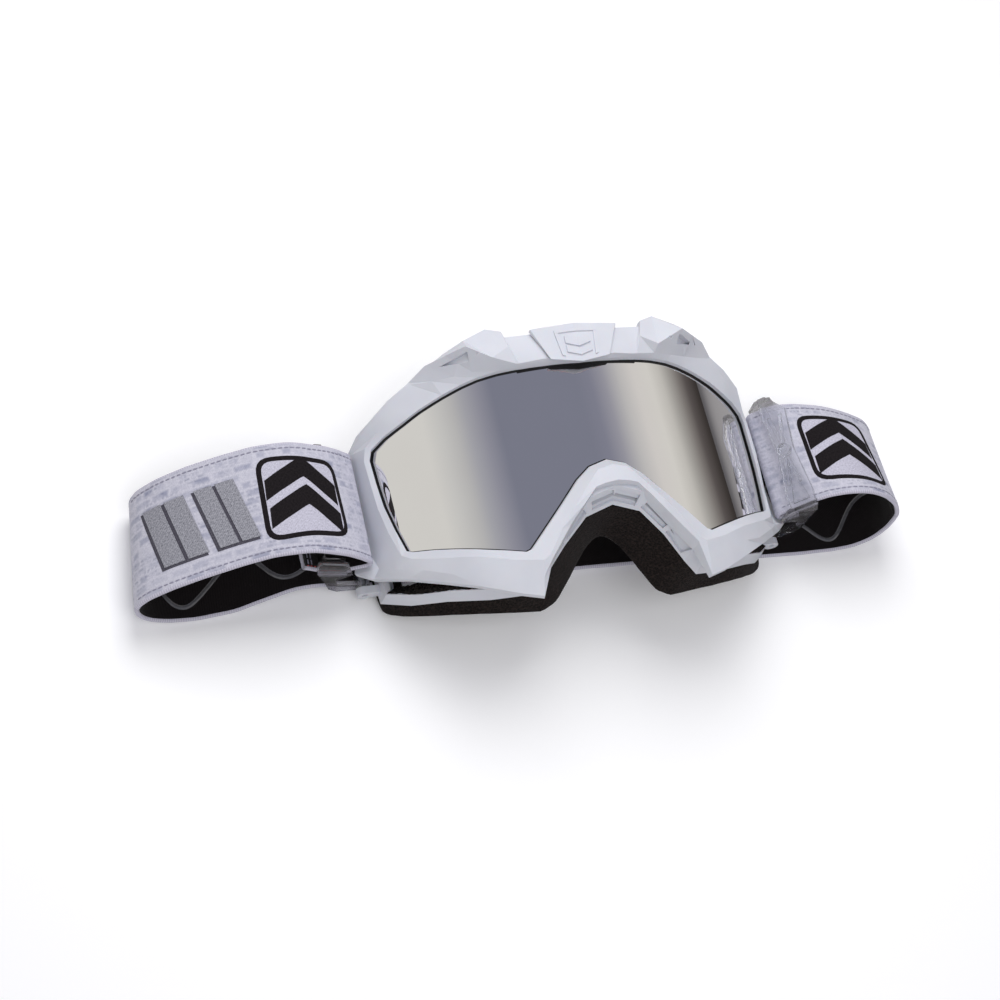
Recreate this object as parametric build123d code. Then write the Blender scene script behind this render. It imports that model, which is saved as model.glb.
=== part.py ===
from build123d import *
import math
import os

# Off-road riding goggles lying on a table, lens up. Millimetres.
# +X is the wearer's left-hand side seen from the front, +Y the brow, +Z out through the lens.
# The origin is on the symmetry plane, on the flat underside of the strap's back stretch.

# ---- driving dimensions ----
LIP_R = 100.4          # the lens opening's lip lies on a cylinder about an axis along Y
AXIS_Z = -36.4         # height of that cylinder's axis
LENS_R = 98.6          # outer face of the lens
LENS_T = 1.0
GASKET_T = 0.5
LENS_GRIP = 2.4        # how far the lens reaches under the lip
GROOVE_PLAY = 0.25
WALL = 2.2             # rear frame's wall
REAR_H = 8.0           # rear frame's height, from its foam flange
POCKET_H = 5.4         # pockets in the nose bridge's wall
POCKET_D = 2.4
FLANGE_W = 6.5
STRAP_W = 45.0
STRAP_T = 1.8
HINGE_X = 84.0         # outrigger hinge axis, along Y
HINGE_Z = 6.0
PIN_R = 1.1
BARREL_R = 2.9
PIN_PLAY = 0.05
LEFT_SWING = 24.0      # the left outrigger lies swung out under the strap, in degrees
SLIDER_X = 45.0
SLIDER_L = 12.0        # along the strap

# Outer frame, right half, from the brow's centre round to the nose's centre. Each row is one
# section: lip (x, y), then crease, ridge and outer edge (x, y, z).
OUTER = [
    ((0.0, 38.4), (0.0, 39.7, 65.4), (0.0, 45.0, 65.7), (0.0, 50.6, 65.2)),
    ((14.0, 38.8), (14.0, 39.9, 64.9), (14.5, 45.0, 65.1), (15.0, 50.6, 64.8)),
    ((22.6, 39.1), (23.0, 39.9, 62.8), (25.0, 45.0, 63.6), (27.2, 50.6, 64.0)),
    ((23.8, 39.2), (24.2, 40.0, 62.6), (26.3, 46.2, 64.9), (28.0, 52.4, 65.4)),
    ((31.0, 39.3), (32.0, 40.5, 60.8), (33.2, 42.6, 64.2), (33.6, 54.5, 64.2)),
    ((38.1, 38.9), (40.0, 40.6, 57.8), (43.4, 46.8, 66.8), (42.2, 51.6, 62.2)),
    ((44.0, 37.9), (46.5, 40.8, 55.0), (49.8, 46.9, 60.4), (49.0, 49.4, 57.6)),
    ((51.0, 36.2), (54.0, 41.6, 51.2), (56.3, 46.8, 54.0), (56.6, 47.0, 49.5)),
    ((59.6, 33.7), (61.0, 43.4, 46.6), (61.6, 44.3, 46.0), (63.0, 43.9, 40.5)),
    ((65.5, 31.4), (68.0, 36.6, 40.4), (69.0, 40.8, 40.2), (71.0, 40.2, 34.5)),
    ((71.5, 29.3), (73.4, 31.6, 33.6), (75.8, 36.0, 33.2), (79.5, 34.5, 25.0)),
    ((76.0, 26.6), (78.0, 27.8, 28.0), (81.4, 29.5, 20.2), (83.8, 28.5, 15.8)),
    ((77.1, 23.0), (79.0, 23.2, 26.8), (82.6, 23.0, 15.6), (85.0, 22.0, 12.4)),
    ((76.7, 13.0), (78.6, 13.0, 27.4), (82.6, 13.0, 15.6), (85.4, 12.0, 12.4)),
    ((76.0, 3.0), (78.0, 3.0, 27.8), (82.4, 3.0, 15.8), (85.5, 2.0, 12.4)),
    ((74.4, -7.2), (76.4, -7.6, 29.0), (81.6, -8.4, 15.8), (86.6, -10.8, 12.6)),
    ((72.4, -17.2), (74.4, -18.4, 32.2), (80.4, -17.6, 20.6), (88.2, -16.2, 14.4)),
    ((70.6, -18.6), (71.8, -21.6, 36.0), (77.2, -21.6, 27.6), (82.6, -21.0, 18.8)),
    ((64.0, -21.2), (65.2, -25.2, 42.6), (69.6, -27.4, 38.4), (73.4, -27.4, 31.2)),
    ((57.0, -24.1), (57.6, -28.3, 48.8), (60.8, -32.6, 44.2), (63.0, -33.8, 40.2)),
    ((52.2, -26.1), (52.0, -30.3, 52.3), (52.6, -35.4, 50.1), (52.8, -39.8, 47.7)),
    ((42.0, -30.3), (41.0, -34.8, 56.4), (40.2, -41.0, 54.8), (40.0, -46.6, 53.2)),
    ((36.2, -32.6), (31.6, -37.6, 60.2), (32.2, -43.0, 57.6), (32.6, -49.0, 54.4)),
    ((34.0, -32.0), (29.2, -36.2, 60.8), (28.4, -37.4, 60.0), (28.2, -38.4, 57.0)),
    ((27.2, -25.0), (23.2, -27.6, 62.8), (19.6, -26.6, 62.6), (18.6, -26.4, 59.6)),
    ((20.3, -17.9), (17.2, -20.8, 65.0), (13.4, -20.2, 65.6), (12.6, -20.0, 62.6)),
    ((12.4, -9.4), (10.4, -13.2, 66.8), (8.2, -15.0, 67.8), (7.8, -15.2, 64.8)),
    ((6.8, -5.0), (6.0, -8.4, 67.8), (4.8, -14.2, 68.5), (4.6, -14.6, 65.4)),
    ((0.0, -3.0), (0.0, -7.0, 68.2), (0.0, -13.7, 69.0), (0.0, -14.2, 65.8)),
]
EDGE_T = 2.6           # the outer frame's thickness at its outer edge
BACK_R = 94.6          # its back face under the lens
BLACK_LINE = 0.5       # width of gasket that shows round the lens
LIP_BEVEL = 0.4        # how far the lip's bevel runs in over the lens

# Rear frame: the flange's outer edge and the wall's lean, right half, in the same order.
REAR = [
    (0, 46.0, 49, 1), (20, 47.0, 47.5, 1), (40, 45.5, 41, 1), (57, 40.5, 29, 1), (68.5, 33.0, 17.5, 1),
    (77, 24.0, 7.5, 1), (79, 13.0, 5.2, 1), (79, -4.0, 5.0, 1), (79, -16.0, 5.0, 1), (78.4, -25.6, 5.0, 1),
    (70, -31.8, 15.5, 1), (59.7, -36.1, 26.5, 1), (45, -39.6, 32.0, 1), (34.4, -41.4, 37.0, 1),
    (27.5, -38.6, 45.0, 2), (19.5, -29.8, 51.5, 3.6), (10.5, -21.6, 56.5, 4), (0, -18.6, 58.2, 4),
]
# Face foam: the outer edge of its back, on the face, and the ring's width there.
FOAM_BACK = [
    (0, 49.0, 38.0, 13), (20, 50.0, 36.0, 13), (40, 48.6, 30.5, 13), (57.5, 43.6, 20.0, 13),
    (70, 35.5, 9.5, 13), (78, 25.5, 3.2, 12), (79.6, 13.0, 2.9, 12), (79.6, -5.0, 2.9, 12),
    (79.6, -17.0, 2.9, 12), (78.2, -28.5, 2.9, 11), (73.5, -33.2, 7.5, 11), (61.9, -39.2, 20.5, 12),
    (44.5, -43.4, 27.0, 12), (25.4, -45.6, 28.0, 9), (19.6, -43.2, 29.6, 9), (13.6, -36.2, 33.4, 11),
    (7.4, -27.4, 37.4, 12), (0, -20.8, 39.4, 12),
]
LINING_T = 0.8
# Vent foam stands this far above the rear frame's wall at each of its sections.
VENT_TOP = [2.4, 2.4, 2.0, 2.4, 3.0]
VENT_CHIN = [1.4, 5.0, 3.6, 6.0, 5.0]
CHIN_FIRST = 9         # the chin's vent foam starts at this section of the rear frame

# Strap halves, along the middle of the band: x, y and z of the lower edge, then how far the
# upper edge is shifted along X and dropped.
STRAP_LEFT = [
    (-106.5, -15.4, 37.5, 0, 1.5), (-112.6, -15.4, 38.0, 0, 1.5), (-123.0, -15.4, 37.0, 0, 2),
    (-133.5, -16.0, 33.6, 0, 2), (-147.6, -17.3, 28.8, 0.5, 2), (-158.0, -18.3, 24.4, 1.5, 3),
    (-166.0, -19.2, 19.0, 3, 4), (-169.6, -20.0, 13.6, 5, 4), (-168.0, -20.8, 8.2, 5, 2.4),
    (-163.0, -21.4, 4.2, 3, 1), (-155.0, -21.6, 1.6, 1, 0.5), (-144.8, -21.6, 0.9, 0, 0),
    (-130.0, -20.2, 1.3, 0, 0), (-118.7, -17.8, 3.2, 0, 0), (-108.5, -16.2, 5.4, 0, 0),
    (-101.0, -16.0, 5.6, 0, 0), (-94.0, -16.0, 3.8, 0, 0), (-87.0, -16.0, 1.4, 0, 0),
    (-80.0, -16.2, 0.9, 0, 0), (-65.0, -17.0, 0.9, 0, 0), (-60.0, -17.4, 2.9, 0, 0),
    (-30.0, -18.4, 2.9, 0, 0), (-24.0, -19.0, 0.9, 0, 0), (24.0, -20.6, 0.9, 0, 0),
    (30.0, -21.0, 2.9, 0, 0), (58.0, -22.0, 2.9, 0, 0),
]
STRAP_RIGHT = [
    (106.0, -17.0, 39.4, 0, 9.5), (111.0, -17.6, 40.0, 0, 10.5), (117.4, -18.3, 39.0, 0, 11.5),
    (124.5, -19.4, 35.4, 1, 11.5), (130.8, -20.8, 29.0, 3, 10), (134.2, -22.0, 21.0, 4.5, 8),
    (133.0, -23.2, 12.0, 5, 4.5), (128.6, -24.4, 5.2, 4, 2), (121.0, -25.2, 1.6, 2, 0.5),
    (112.0, -25.4, 0.9, 0, 0), (97.0, -25.2, 0.9, 0, 0), (80.5, -24.4, 0.9, 0, 0),
    (68.0, -23.6, 0.9, 0, 0), (60.0, -23.2, 4.9, 0, 0), (30.0, -22.0, 4.9, 0, 0),
    (24.0, -21.4, 3.0, 0, 0), (-24.0, -19.8, 3.0, 0, 0), (-30.0, -19.4, 4.9, 0, 0),
    (-58.0, -18.6, 4.9, 0, 0),
]
# Strap ends, folded round the outriggers' bars: front leg, fold, back leg.
FOLD = [(88.6, -16.0, 27.8, 0, 0.5), (83.6, -15.9, 22.8, 0, 0), (82.9, -15.9, 20.9, 0, 0),
        (83.6, -15.9, 19.3, 0, 0), (85.1, -15.9, 18.7, 0, 0)]
END_LEFT_FRONT = [(102.0, -15.9, 36.2, 0, 1.5), (95.0, -15.9, 32.6, 0, 1)]
END_LEFT_BACK = [(91.5, -15.9, 16.8, 0, 0), (101.0, -15.9, 19.4, 0, 0), (109.0, -15.9, 24.0, 0, 0)]
END_RIGHT_FRONT = [(100.0, -16.3, 36.8, 0, 7), (95.0, -16.1, 33.4, 0, 4)]
END_RIGHT_BACK = [(87.4, -15.9, 20.3, 0, 0), (90.6, -16.0, 23.4, 0, 0)]
CHEEK_T = 1.8          # the outrigger's cheeks stand just clear of the strap's edges
CHEEK_LOW = -16.6
CHEEK_HIGH = 29.4
EAR_T = 3.0
EAR_LOW_Y = -20.6
EAR_MID_Y = 16.5
BAR_R = 1.0
BAR_X, BAR_Z = 1.4, 15.2            # from the hinge axis
CHEEK = [(-1.0, 2.4), (2.6, -1.2), (9.6, 2.6), (11.6, 7.0), (11.2, 16.0), (11.4, 24.5), (8.6, 31.6), (7.0, 31.4),
         (1.2, 25.6), (-0.4, 22.6), (0.4, 14.4), (7.2, 13.4), (7.8, 8.2)]
BROW_CHEEK = [(-1.0, 2.4), (2.6, -1.2), (9.6, 2.6), (11.6, 7.0), (11.0, 15.0), (8.2, 22.0), (5.0, 26.2),
              (1.6, 25.2), (-0.4, 22.6), (0.4, 14.4), (7.2, 13.4), (7.8, 8.2)]
PLATE_AT = (1.6, 7.3, 22.8)         # corner of the faceted plate, from the hinge axis
PLATE_T = 2.2
WAIST_Y = -0.6                      # the plate is narrowest here
RIB_W, RIB_L, RIB_H, RIB_TILT = 1.1, 30, 1.2, 9.5
BOSS_R, BOSS_H, BOSS_BORE_R = 2.6, 3.0, 1.2
BARREL_GAP = 0.4                    # each side of the brow-end ear
PIN_Y, PIN_L = 5.7, 54.4
LUG_WEB = (5.4, 4.4)                # the ear's web, along X and Z
SLIDER_EXTRA = 8.0                  # the slider is this much wider than the strap
SLIDER_WALL = 1.5
SLIDER_SLOT_EXTRA = 3.4
SLIDER_ROUND = 1.4
SLIDER_LOW, SLIDER_HIGH = 0.2, 7.6
SLIDER_LEFT_Y, SLIDER_RIGHT_Y = 4.0, 1.0
# Pockets in the horn's outer facet, right side.
HORN_AT = (46.8, 44.4, 61.0)
HORN_NORMAL = (0.62, -0.28, 0.73)
HORN_ACROSS = (0.70, 0.10, -0.55)
HORN_DEPTH = 2.6
HORN_LARGE = [(-5.6, 1.8), (-4.4, -1.6), (6.4, -0.6)]
HORN_SMALL = [(-11.6, 0.6), (-11.0, -1.4), (-7.4, -1.5), (-8.2, 0.9)]
# Nose pockets: section of the rear frame, then where along it the pocket starts and ends.
NOSE_SPANS = [(14, 0.12, 0.9), (15, 0.06, 0.94), (16, 0.22, 1.0)]
PLATE_TOP = [(-17.4, 51.7, 66.6), (0.0, 52.2, 68.3), (17.4, 51.7, 66.6)]
PLATE_LOW = [(-11.8, 38.6, 66.2), (0.0, 36.2, 67.2), (11.8, 38.6, 66.2)]
GRIP_T = 0.5           # silicone bead on the strap's inner face
GRIP_W = 30.0


def mirror_x(point):
    return (-point[0],) + tuple(point[1:])


def mirrored(point, side):
    return (side * point[0],) + tuple(point[1:])


def cylinder_z(x, radius):
    """Height of the cylinder about the lens axis at this x."""
    return math.sqrt(radius ** 2 - x ** 2) + AXIS_Z


def facets(rows, closed):
    """A solid whose skin is triangles between neighbouring sections of equal point count."""
    faces = []
    count = len(rows[0])
    spans = len(rows) if closed else len(rows) - 1
    for i in range(spans):
        here, there = rows[i], rows[(i + 1) % len(rows)]
        for j in range(count):
            k = (j + 1) % count
            faces.append(triangle(here[j], here[k], there[j]))
            faces.append(triangle(here[k], there[k], there[j]))
    if not closed:
        for row in (rows[0], rows[-1]):
            for j in range(1, count - 1):
                faces.append(triangle(row[0], row[j], row[j + 1]))
    solid = Solid(Shell([face for face in faces if face is not None]))
    return solid if solid.volume > 0 else Solid(solid.wrapped.Reversed())


def triangle(a, b, c):
    """A flat face, or nothing where two corners meet."""
    a, b, c = Vector(*a), Vector(*b), Vector(*c)
    if (b - a).cross(c - a).length < 1e-6:
        return None
    return Face(Wire.make_polygon([a, b, c], close=True))


def whole_ring(half):
    """Right-half sections, then their mirror images, as one closed loop."""
    mirrored = [[mirror_x(p) for p in row] for row in reversed(half[1:-1])]
    return half + mirrored


def inward(outline, i, distance):
    """Point i of a right-half outline moved towards the opening, in plan."""
    before = outline[i - 1] if i else mirror_x(outline[1])
    after = outline[i + 1] if i < len(outline) - 1 else mirror_x(outline[-2])
    run = Vector(after[0] - before[0], after[1] - before[1])
    side = Vector(run.Y, -run.X).normalized()
    return (outline[i][0] + side.X * distance, outline[i][1] + side.Y * distance)


def outer_frame_solid():
    lips = [row[0] for row in OUTER]
    rows = []
    for i, (lip, crease, ridge, edge) in enumerate(OUTER):
        bevel = inward(lips, i, LIP_BEVEL)
        back = inward(lips, i, LIP_BEVEL - 0.2)
        bevel_top = (*bevel, cylinder_z(bevel[0], LENS_R + GASKET_T))
        under_x = back[0] * BACK_R / LIP_R
        under = (under_x, back[1], cylinder_z(under_x, BACK_R))
        rim = (edge[0] * 0.985, edge[1], edge[2] - EDGE_T)
        rows.append([(*lip, cylinder_z(lip[0], LIP_R)), crease, ridge, edge, rim, under, bevel_top])
    return facets(whole_ring(rows), closed=True)


def lens_outline(grow):
    """The lens opening in plan, grown outwards past the lip."""
    lips = [row[0] for row in OUTER]
    right = [inward(lips, i, -grow) for i in range(len(lips))]
    left = [mirror_x(p) for p in reversed(right[1:-1])]
    return make_face(Polyline(*right, *left, close=True))


def curved_sheet(outline, radius, thickness):
    """The outline's slice of a cylinder wall about the lens axis."""
    turn = Pos(0, 0, AXIS_Z) * Rot(90, 0, 0)
    wall = turn * (Cylinder(radius, 140) - Cylinder(radius - thickness, 141))
    return wall & extrude(outline, 80)


def rear_frame_solid():
    rows = []
    for i, (x, y, z, slant) in enumerate(REAR):
        wall = inward(REAR, i, WALL)
        flange = inward(REAR, i, FLANGE_W)
        lean = inward(REAR, i, slant)
        lean_wall = inward(REAR, i, slant + WALL)
        rows.append([(x, y, z), (*lean, z + REAR_H), (*lean_wall, z + REAR_H),
                     (*wall, z + WALL), (*flange, z + WALL), (*flange, z)])
    return facets(whole_ring(rows), closed=True)


def foam_solid():
    rows = []
    for i, (x, y, z, width) in enumerate(FOAM_BACK):
        front_z = REAR[i][2]
        front = (*inward(REAR, i, 0.4), front_z)
        inner_front = (*inward(REAR, i, FLANGE_W), front_z)
        rows.append([front, (x, y, z), (*inward(FOAM_BACK, i, width), z), inner_front])
    return facets(whole_ring(rows), closed=True)


def lining_solid():
    """Thin fleece on the foam's face side."""
    rows = []
    for i, (x, y, z, width) in enumerate(FOAM_BACK):
        outer = inward(FOAM_BACK, i, LINING_T)
        inner = inward(FOAM_BACK, i, width - LINING_T)
        rows.append([(*outer, z), (*outer, z - LINING_T), (*inner, z - LINING_T), (*inner, z)])
    return facets(whole_ring(rows), closed=True)


def vent_foam_rows(first, heights):
    """Sections of a strip of open foam on the rear frame's top edge."""
    rows = []
    for i, height in enumerate(heights, first):
        z = REAR[i][2] + REAR_H
        outer = inward(REAR, i, REAR[i][3] + 0.3)
        inner = inward(REAR, i, REAR[i][3] + 3.4)
        rows.append([(*outer, z), (*outer, z + height), (*inner, z + height), (*inner, z)])
    return rows


def flip(rows):
    return [[mirror_x(p) for p in row] for row in rows]


def band(path, width, near, far):
    """A flat band along a path in X and Z, from near to far off it, as wide as stated along Y."""
    rows = []
    margin = (STRAP_W - width) / 2
    for i, (x, y, z, shift, drop) in enumerate(path):
        before = path[max(i - 1, 0)]
        after = path[min(i + 1, len(path) - 1)]
        run = Vector(after[0] - before[0], 0, after[2] - before[2]).normalized()
        rise = math.sqrt(STRAP_W ** 2 - shift ** 2 - drop ** 2)
        across = Vector(shift, rise, -drop).normalized()
        out = run.cross(across).normalized() * -1
        corners = []
        for reach, offset in ((margin, near), (STRAP_W - margin, near), (STRAP_W - margin, far), (margin, far)):
            corners.append(tuple(Vector(x, y, z) + across * reach + out * offset))
        rows.append(corners)
    return facets(rows, closed=False)


def strap(path):
    return band(path, STRAP_W, -STRAP_T / 2, STRAP_T / 2)


def brow_plate_solid():
    """The raised centre plate: a shield with a crease down its middle."""
    rows = []
    for t, b in zip(PLATE_TOP, PLATE_LOW):
        rows.append([t, b, (b[0], b[1] + 0.8, 65.8), (t[0], t[1] - 0.6, 65.3)])
    return facets(rows, closed=False)


def horn_pockets(side):
    """Two pockets in the horn's outer facet."""
    plane = Plane(origin=mirrored(HORN_AT, side), x_dir=mirrored(HORN_ACROSS, side),
                  z_dir=mirrored(HORN_NORMAL, side))
    pockets = []
    for outline in (HORN_LARGE, HORN_SMALL):
        face = make_face(Polyline(*[(u, v * side) for u, v in outline], close=True))
        pockets.append(plane * Pos(0, 0, -HORN_DEPTH) * extrude(face, HORN_DEPTH + 6.4))
    return pockets


def nose_pockets():
    """Pockets in the outward face of the nose bridge's wall, with ribs left between them."""
    cuts = []
    for i, start, end in NOSE_SPANS:
        corners = []
        for j in (i, i + 1):
            x, y, z, slant = REAR[j]
            lean = inward(REAR, j, slant)
            corners.append((Vector(x, y, z), Vector(*lean, z + REAR_H)))
        (low_a, high_a), (low_b, high_b) = corners
        mid_a, mid_b = (low_a + high_a) / 2, (low_b + high_b) / 2
        run = mid_b - mid_a
        centre = mid_a + run * ((start + end) / 2)
        rise = (high_a - low_a + high_b - low_b) / 2
        normal = run.cross(rise).normalized()
        block = Box(run.length * (end - start), POCKET_H, POCKET_D)
        pocket = Plane(origin=centre, x_dir=run, z_dir=normal) * block
        cuts += [pocket, mirror(pocket, Plane.YZ)]
    return cuts


def hinge_lugs(side):
    """Two ears that stand off the rear frame's temple and hold the hinge pin."""
    ears = []
    for y in (EAR_LOW_Y, EAR_MID_Y):
        round_end = Pos(side * HINGE_X, y, HINGE_Z) * Rot(90, 0, 0) * Cylinder(BARREL_R, EAR_T)
        web = Pos(side * (HINGE_X - 3.4), y, HINGE_Z + 0.4) * Box(LUG_WEB[0], EAR_T, LUG_WEB[1])
        hole = Pos(side * HINGE_X, y, HINGE_Z) * Rot(90, 0, 0) * Cylinder(PIN_R, EAR_T + 2)
        ears.append(round_end + web - hole)
    return ears


def outrigger_solids(side, swing):
    """Hinged clear arm. Two cheeks rise from the barrel round the frame's edge to a faceted plate
    over the strap; a bar between the cheeks takes the strap's fold."""
    low, high = CHEEK_LOW - CHEEK_T, CHEEK_HIGH + CHEEK_T
    gap_low, gap_high = EAR_MID_Y - EAR_T / 2 - BARREL_GAP, EAR_MID_Y + EAR_T / 2 + BARREL_GAP
    arm = []
    for start, end in ((low, gap_low), (gap_high, high)):
        arm.append(Pos(0, (start + end) / 2, 0) * Rot(90, 0, 0) * Cylinder(BARREL_R, end - start))
    for y, outline in ((CHEEK_LOW, CHEEK), (high, BROW_CHEEK)):
        plane = Plane(origin=(0, y, 0), x_dir=(1, 0, 0), z_dir=(0, -1, 0))
        arm.append(plane * extrude(make_face(Polyline(*outline, close=True)), CHEEK_T))
    arm.append(Pos(BAR_X, (low + high) / 2, BAR_Z) * Rot(90, 0, 0) * Cylinder(BAR_R, high - low))
    # The plate lies at 45 degrees over the strap: its x runs outwards and up, its y along Y.
    plate_plane = Plane(origin=PLATE_AT, x_dir=(1, 0, 1), z_dir=(-1, 0, 1))
    top, foot = high - PLATE_AT[1], low - PLATE_AT[1]
    outline = Polyline((0.2, top), (3.4, top), (9.8, top - 7.4), (8.4, WAIST_Y), (10.8, foot + 6.0),
                       (10.4, foot), (0.6, foot), (-0.2, foot + 6.0), (1.6, WAIST_Y), (-0.4, top - 5.0),
                       close=True)
    windows = (((2.2, top - 3.6), (8.0, top - 9.0), (5.0, 4.4)), ((2.0, foot + 3.0), (8.8, foot + 3.0), (5.0, -6.0)))
    pockets = [plate_plane * Pos(0, 0, 1.0) * extrude(make_face(Polyline(*w, close=True)), 3.0) for w in windows]
    arm.append(plate_plane * extrude(make_face(outline), PLATE_T) - pockets)
    centre = plate_plane * Pos(5.0, WAIST_Y, 0)
    for tilt in (RIB_TILT, -RIB_TILT):
        arm.append(centre * Pos(0, 0, PLATE_T + 0.4) * Rot(0, 0, tilt) * Box(RIB_W, RIB_L, RIB_H))
    boss = Pos(0, 0, PLATE_T + 0.2) * Cylinder(BOSS_R, BOSS_H)
    bore = Pos(0, 7, 0) * Rot(90, 0, 0) * Cylinder(PIN_R + PIN_PLAY, 60)
    body = Part() + arm - centre * boss - bore
    boss = centre * (boss - Pos(0, 0, PLATE_T + 1.4) * Cylinder(BOSS_BORE_R, 1.4))
    place = Pos(HINGE_X, 0, HINGE_Z) * Rot(0, swing, 0)
    solids = [place * body, place * boss]
    return [s if side > 0 else mirror(s, Plane.YZ) for s in solids]


def slider_solid(x, y):
    """Flat adjuster: a loop that both strap layers run through."""
    height = SLIDER_HIGH - SLIDER_LOW
    middle = Pos(x, y, (SLIDER_LOW + SLIDER_HIGH) / 2)
    outer = middle * fillet(Box(SLIDER_L, STRAP_W + SLIDER_EXTRA, height).edges().filter_by(Axis.Z), SLIDER_ROUND)
    hole = middle * Box(SLIDER_L + 1, STRAP_W + SLIDER_SLOT_EXTRA, height - 2 * SLIDER_WALL)
    window = Pos(x, y, SLIDER_HIGH) * Box(SLIDER_L - 6.0, STRAP_W - 4.0, 4.0)
    return outer - hole - window


def save(name, solids):
    shapes = list(solids) if isinstance(solids, (list, tuple)) else [solids]
    shapes = [solid for shape in shapes for solid in shape.solids()]
    export_step(Compound(children=shapes) if len(shapes) > 1 else shapes[0], f"parts/{name}.step")


os.makedirs("parts", exist_ok=True)

groove = curved_sheet(lens_outline(LENS_GRIP + GROOVE_PLAY), LENS_R + GASKET_T, LENS_T + GASKET_T + 0.02)
outer_frame = outer_frame_solid() - groove
for side in (1, -1):
    outer_frame = outer_frame - horn_pockets(side)
save("outer_frame", outer_frame)
save("brow_plate", brow_plate_solid())
save("lens", curved_sheet(lens_outline(LENS_GRIP), LENS_R, LENS_T))
gasket = curved_sheet(lens_outline(LENS_GRIP), LENS_R + GASKET_T, GASKET_T)
save("lens_gasket", gasket - extrude(lens_outline(-LIP_BEVEL - BLACK_LINE), 90))

rear_frame = rear_frame_solid() - nose_pockets() - outer_frame
save("rear_frame", max(rear_frame.solids(), key=lambda solid: solid.volume))
save("face_foam", foam_solid())
save("fleece_lining", lining_solid())

top = vent_foam_rows(0, VENT_TOP)
chin = vent_foam_rows(CHIN_FIRST, VENT_CHIN)
save("vent_foam_top", facets(flip(reversed(top[1:])) + top, closed=False) - outer_frame)
save("vent_foam_right", facets(chin, closed=False) - outer_frame)
save("vent_foam_left", facets(flip(chin), closed=False) - outer_frame)

for name, side, swing in (("left", -1, LEFT_SWING), ("right", 1, 0.0)):
    save(f"hinge_lugs_{name}", hinge_lugs(side))
    arm, boss = outrigger_solids(side, swing)
    save(f"outrigger_{name}", arm)
    save(f"outrigger_boss_{name}", boss)
    pin = Pos(side * HINGE_X, PIN_Y, HINGE_Z) * Rot(90, 0, 0) * Cylinder(PIN_R, PIN_L)
    save(f"hinge_pin_{name}", pin)

save("strap_left", strap(STRAP_LEFT))
save("strap_right", strap(STRAP_RIGHT))
save("strap_end_left", strap([mirror_x(p) for p in END_LEFT_FRONT + FOLD + END_LEFT_BACK]))
save("strap_end_right", strap(END_RIGHT_FRONT + FOLD + END_RIGHT_BACK))
save("grip_bead_left", band(STRAP_LEFT[1:12], GRIP_W, -STRAP_T / 2 - GRIP_T, -STRAP_T / 2))
save("grip_bead_right", band(STRAP_RIGHT[1:9], GRIP_W, STRAP_T / 2, STRAP_T / 2 + GRIP_T))
save("slider_left", slider_solid(-SLIDER_X, SLIDER_LEFT_Y))
save("slider_right", slider_solid(SLIDER_X, SLIDER_RIGHT_Y))
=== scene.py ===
import math
import random

import bmesh
import bpy
from mathutils import Matrix, Vector, noise


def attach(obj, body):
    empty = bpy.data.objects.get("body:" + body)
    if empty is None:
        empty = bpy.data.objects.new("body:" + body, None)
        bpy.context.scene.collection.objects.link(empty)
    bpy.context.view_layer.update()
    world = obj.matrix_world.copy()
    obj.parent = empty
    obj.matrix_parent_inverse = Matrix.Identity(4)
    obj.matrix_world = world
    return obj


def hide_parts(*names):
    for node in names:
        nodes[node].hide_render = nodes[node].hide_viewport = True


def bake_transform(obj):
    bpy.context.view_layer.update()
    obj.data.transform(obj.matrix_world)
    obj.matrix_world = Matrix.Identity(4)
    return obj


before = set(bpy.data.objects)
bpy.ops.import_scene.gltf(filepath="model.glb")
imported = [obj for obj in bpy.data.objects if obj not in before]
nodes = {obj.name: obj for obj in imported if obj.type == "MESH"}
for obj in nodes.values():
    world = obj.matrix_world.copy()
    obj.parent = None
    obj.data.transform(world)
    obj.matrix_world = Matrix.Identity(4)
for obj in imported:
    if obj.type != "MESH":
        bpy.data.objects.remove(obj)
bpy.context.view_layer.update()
MM = 0.001
TURN_MM = 2 * math.pi / MM  # radians per metre of something that repeats once a millimetre


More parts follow.
